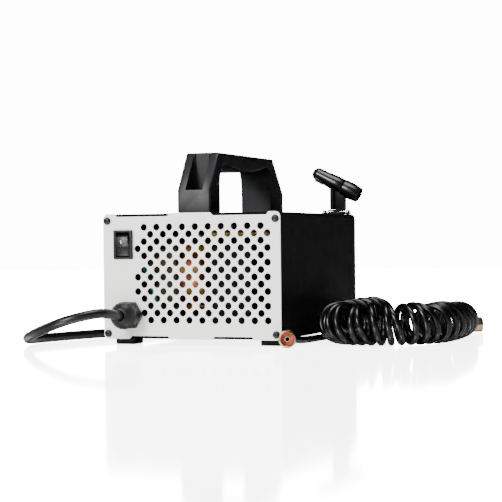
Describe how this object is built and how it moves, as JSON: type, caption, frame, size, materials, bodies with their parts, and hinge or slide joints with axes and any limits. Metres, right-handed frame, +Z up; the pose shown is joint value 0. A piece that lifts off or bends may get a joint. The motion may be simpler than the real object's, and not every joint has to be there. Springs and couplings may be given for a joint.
{
  "type": "portable air blower",
  "caption": "Small box-shaped electric air blower with a carrying handle, vented end panels, a swivelling tool rest, a mains lead and a coiled air hose.",
  "frame": {"origin": "on the table, in the middle of the box around everything but the mains lead and the air hose", "axes": "+Z up; -Y faces the switch and gland end panel; +X to the right as seen from that end, towards the air hose"},
  "size_m": [0.3146, 0.3388, 0.1396],
  "materials": {
    "white_powder_coat": "satin powder coat",
    "black_powder_coat": "satin powder coat",
    "black_nylon": "moulded, fine texture",
    "gloss_black_plastic": "polished",
    "black_rubber": "moulded",
    "black_screws": "black oxide",
    "bright_steel": "bright",
    "brass": "turned",
    "red_fibre": "pressed fibre",
    "cord_vinyl": "satin",
    "hose_polyurethane": "glossy",
    "cast_aluminium": "cast",
    "laminated_steel": "varnished",
    "copper_winding": "enamelled copper",
    "capacitor_can": "plastic can"
  },
  "bodies": {
    "case": {"base_plate": "black_powder_coat", "bearing_left": "bright_steel", "bearing_right": "bright_steel", "capacitor": "capacitor_can", "crankcase": "cast_aluminium", "cylinder": "cast_aluminium", "cylinder_head": "cast_aluminium", "delivery_pipe": "copper_winding", "foot_front_left": "black_rubber", "foot_front_right": "black_rubber", "foot_rear_left": "black_rubber", "foot_rear_right": "black_rubber", "front_panel": "white_powder_coat", "front_screw_lower_left": "black_screws", "front_screw_lower_right": "black_screws", "front_screw_upper_left": "black_screws", "front_screw_upper_right": "black_screws", "gland_body": "black_nylon", "gland_dome": "black_nylon", "gland_locknut": "black_nylon", "handle": "black_nylon", "handle_screw_front": "bright_steel", "handle_screw_rear": "bright_steel", "hose_coil": "hose_polyurethane", "hose_ferrule_front": "brass", "hose_guard_rear": "bright_steel", "hose_lead": "hose_polyurethane", "hose_tail": "hose_polyurethane", "mains_coil": "cord_vinyl", "mains_cord": "cord_vinyl", "mains_plug": "cord_vinyl", "motor_bracket": "cast_aluminium", "outlet_fitting": "brass", "rear_panel": "white_powder_coat", "rear_screw_lower_left": "black_screws", "rear_screw_lower_right": "black_screws", "rear_screw_upper_left": "black_screws", "rear_screw_upper_right": "black_screws", "rest_flange": "black_nylon", "rest_screw_left": "bright_steel", "rest_screw_right": "bright_steel", "stator_core": "laminated_steel", "switch_body": "black_nylon", "top_cover": "black_powder_coat", "winding_left": "copper_winding", "winding_right": "copper_winding"},
    "rocker": {"switch_rocker": "gloss_black_plastic"},
    "rotor": {"rotor": "laminated_steel", "motor_shaft": "bright_steel", "fan": "black_nylon", "crank": "bright_steel"},
    "piston": {"piston": "cast_aluminium", "piston_cup": "black_rubber"},
    "rest": {"rest_post": "black_nylon", "rest_rod": "gloss_black_plastic", "rest_head": "gloss_black_plastic", "rest_collar": "black_nylon"},
    "nut_front": {"hose_nut_front": "brass", "hose_washer_front": "red_fibre"},
    "nut_rear": {"hose_nut_rear": "brass"}
  },
  "joints": [
    {"name": "rocker_tilt", "type": "hinge", "parent": "case", "child": "rocker", "pos_m": [-0.05678, -0.086, 0.0731], "axis": [-1, 0, 0], "range_deg": [0, 24]},
    {"name": "rotor_spin", "type": "hinge", "parent": "case", "child": "rotor", "pos_m": [-0.00458, -0.034, 0.05], "axis": [1, 0, 0], "continuous": true},
    {"name": "piston_swing", "type": "hinge", "parent": "rotor", "child": "piston", "pos_m": [0.01572, -0.0315, 0.05], "axis": [1, 0, 0], "continuous": true},
    {"name": "rest_swivel", "type": "hinge", "parent": "case", "child": "rest", "pos_m": [0.05142, 0.083, 0.1], "axis": [0, 0, 1], "range_deg": [-90, 90]},
    {"name": "front_nut_spin", "type": "hinge", "parent": "case", "child": "nut_front", "pos_m": [0.07322, -0.1027, 0.0063], "axis": [-0.3297, 0.9441, 0], "continuous": true},
    {"name": "rear_nut_spin", "type": "hinge", "parent": "case", "child": "nut_rear", "pos_m": [0.16291, 0.11009, 0.0063], "axis": [0.8829, 0.4695, 0], "continuous": true}
  ],
  "couplings": [
    {"joint": "piston_swing", "follows": "rotor_spin", "ratio": -1}
  ]
}
